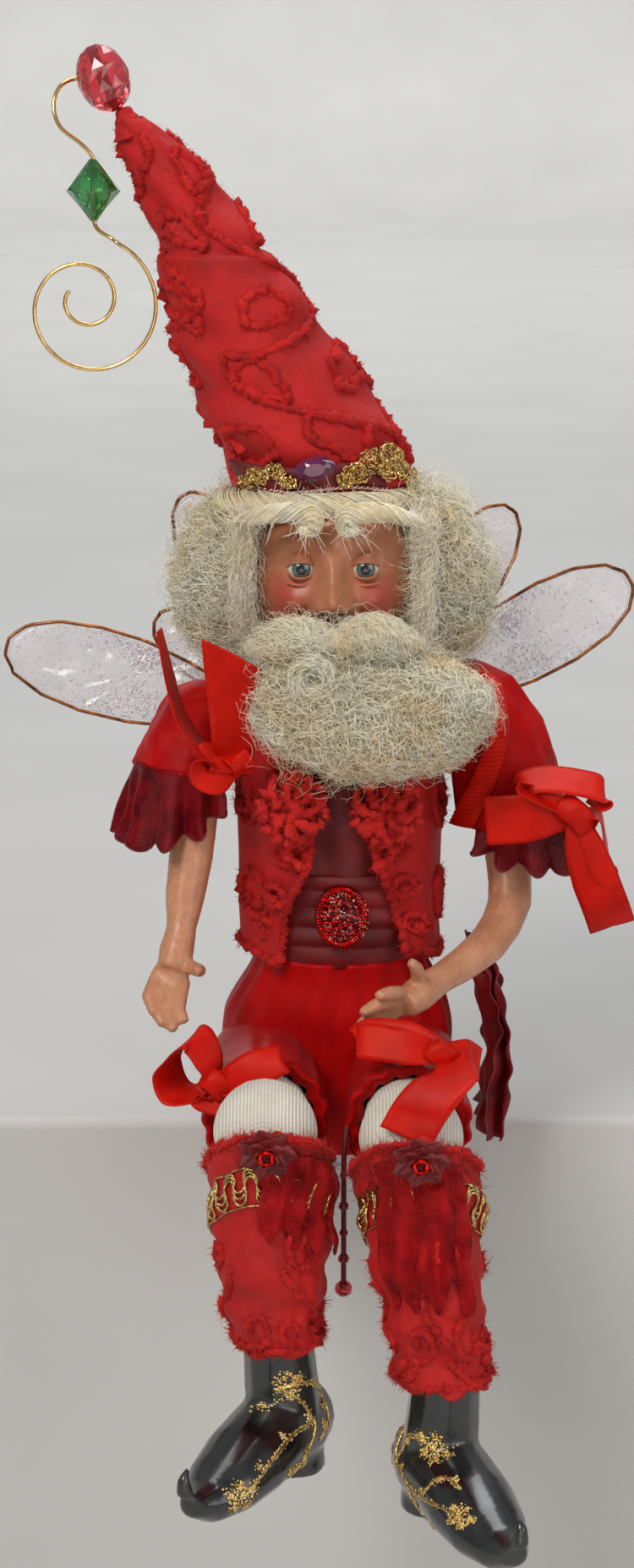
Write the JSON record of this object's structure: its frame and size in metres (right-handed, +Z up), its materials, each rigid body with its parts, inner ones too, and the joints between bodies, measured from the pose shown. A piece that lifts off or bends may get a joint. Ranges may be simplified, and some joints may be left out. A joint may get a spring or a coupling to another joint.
{
  "type": "seated winged gnome doll",
  "caption": "Shelf-sitting winged gnome doll: bearded resin head in a tall pointed hat, red cloth body, resin arms and curled-toe boots, bendable limbs.",
  "frame": {"origin": "centre of the seat's flat underside, which rests on a shelf", "axes": "+Z up, the figure faces -Y, its own left is +X"},
  "size_m": [0.1505, 0.1603, 0.3098],
  "materials": {
    "skin_resin": "painted resin, satin",
    "eye_glass": "glass-like, glossy",
    "mohair": "curly long fibre",
    "hat_cloth": "stretch cloth with raised looped braid",
    "red_satin": "satin sheen",
    "red_ribbon": "satin ribbon",
    "red_plush": "looped chenille",
    "dark_red_cloth": "matt",
    "dark_organza": "sheer, crisp",
    "cotton_body": "plain woven",
    "stocking_knit": "ribbed knit",
    "boot_resin": "gloss paint with gold glitter",
    "gold_braid": "metallic thread",
    "gold_wire": "polished",
    "wing_wire": "dark copper",
    "steel_wire": "plain",
    "red_bead": "clear, faceted",
    "green_bead": "clear, faceted",
    "purple_jewel": "faceted",
    "wing_film": "clear film with glitter"
  },
  "bodies": {
    "torso": {"body_stuffing": "cotton_body", "spine_wire": "steel_wire", "shorts_seat": "red_satin", "shirt_front": "dark_red_cloth", "sash": "dark_red_cloth", "coat": "red_plush", "flower_l": "red_plush", "flower_r": "red_plush", "organza_tail": "dark_organza", "wing_anchor": "cotton_body", "shoulder_bow": "red_ribbon"},
    "neck": {"neck_post": "skin_resin"},
    "head": {"head": "skin_resin", "eye_l": "eye_glass", "eye_r": "eye_glass", "hair": "mohair", "beard": "mohair", "moustache": "mohair", "eyebrow_l": "mohair", "eyebrow_r": "mohair", "hat_crown": "hat_cloth", "hat_band": "red_ribbon", "hat_lace": "gold_braid", "hat_jewel": "purple_jewel"},
    "hat_tip": {"hat_peak": "hat_cloth", "hat_bead": "red_bead", "hat_wire": "gold_wire"},
    "bead_spinner": {"green_bead": "green_bead"},
    "upper_arm_r": {"upper_arm_r": "cotton_body", "sleeve_r": "red_satin", "ruffle_r": "dark_organza"},
    "lower_arm_r": {"forearm_r": "skin_resin"},
    "thigh_r": {"shorts_leg_r": "red_satin", "stocking_r": "stocking_knit", "knee_bow_r": "red_ribbon"},
    "shin_r": {"gaiter_r": "red_plush", "gimp_r": "gold_braid", "gaiter_flower_r": "dark_organza", "boot_r": "boot_resin"},
    "wings_r": {"wing_wire_r": "wing_wire", "film_r_upper": "wing_film", "film_r_middle": "wing_film", "film_r_large": "wing_film"},
    "upper_arm_l": {"upper_arm_l": "cotton_body", "sleeve_l": "red_satin", "ruffle_l": "dark_organza", "sleeve_bow": "red_ribbon"},
    "lower_arm_l": {"forearm_l": "skin_resin"},
    "thigh_l": {"shorts_leg_l": "red_satin", "stocking_l": "stocking_knit", "knee_bow_l": "red_ribbon", "bead_tassel": "dark_organza"},
    "shin_l": {"gaiter_l": "red_plush", "gimp_l": "gold_braid", "gaiter_flower_l": "dark_organza", "boot_l": "boot_resin"},
    "wings_l": {"wing_wire_l": "wing_wire", "film_l_upper": "wing_film", "film_l_middle": "wing_film", "film_l_large": "wing_film"}
  },
  "joints": [
    {"name": "head_turn", "type": "hinge", "parent": "torso", "child": "neck", "pos_m": [0.0005, -0.006, 0.107], "axis": [0, 0, 1], "range_deg": [-15, 15]},
    {"name": "head_nod", "type": "hinge", "parent": "neck", "child": "head", "pos_m": [0.0005, -0.006, 0.117], "axis": [1, 0, 0], "range_deg": [-10, 10]},
    {"name": "hat_bend", "type": "hinge", "parent": "head", "child": "hat_tip", "pos_m": [-0.0255, 0, 0.206], "axis": [0, 1, 0], "range_deg": [0, 20]},
    {"name": "bead_spin", "type": "hinge", "parent": "hat_tip", "child": "bead_spinner", "pos_m": [-0.0512, -0.006, 0.22], "axis": [0, 0, 1], "continuous": true},
    {"name": "shoulder_swing_r", "type": "hinge", "parent": "torso", "child": "upper_arm_r", "pos_m": [-0.026, -0.001, 0.101], "axis": [-1, 0, 0], "range_deg": [-3, 35]},
    {"name": "shoulder_swing_l", "type": "hinge", "parent": "torso", "child": "upper_arm_l", "pos_m": [0.0318, -0.001, 0.103], "axis": [-1, 0, 0], "range_deg": [-4, 20]},
    {"name": "elbow_bend_r", "type": "hinge", "parent": "upper_arm_r", "child": "lower_arm_r", "pos_m": [-0.0295, -0.011, 0.086], "axis": [-1, 0, 0], "range_deg": [-10, 60]},
    {"name": "elbow_bend_l", "type": "hinge", "parent": "upper_arm_l", "child": "lower_arm_l", "pos_m": [0.041, -0.005, 0.071], "axis": [-1, 0, 0], "range_deg": [-4, 30]},
    {"name": "hip_bend_r", "type": "hinge", "parent": "torso", "child": "thigh_r", "pos_m": [-0.0145, -0.004, 0.016], "axis": [1, 0, 0], "range_deg": [0, 85]},
    {"name": "hip_bend_l", "type": "hinge", "parent": "torso", "child": "thigh_l", "pos_m": [0.0175, -0.004, 0.016], "axis": [1, 0, 0], "range_deg": [0, 85]},
    {"name": "knee_bend_r", "type": "hinge", "parent": "thigh_r", "child": "shin_r", "pos_m": [-0.0135, -0.07, 0.0265], "axis": [-1, 0, 0], "range_deg": [-5, 80]},
    {"name": "knee_bend_l", "type": "hinge", "parent": "thigh_l", "child": "shin_l", "pos_m": [0.0175, -0.073, 0.026], "axis": [-1, 0, 0], "range_deg": [-5, 80]},
    {"name": "wing_swing_r", "type": "hinge", "parent": "torso", "child": "wings_r", "pos_m": [-0.005, 0.0255, 0.093], "axis": [0, 0, -1], "range_deg": [-12, 25]},
    {"name": "wing_swing_l", "type": "hinge", "parent": "torso", "child": "wings_l", "pos_m": [0.009, 0.0255, 0.093], "axis": [0, 0, 1], "range_deg": [-12, 25]}
  ]
}
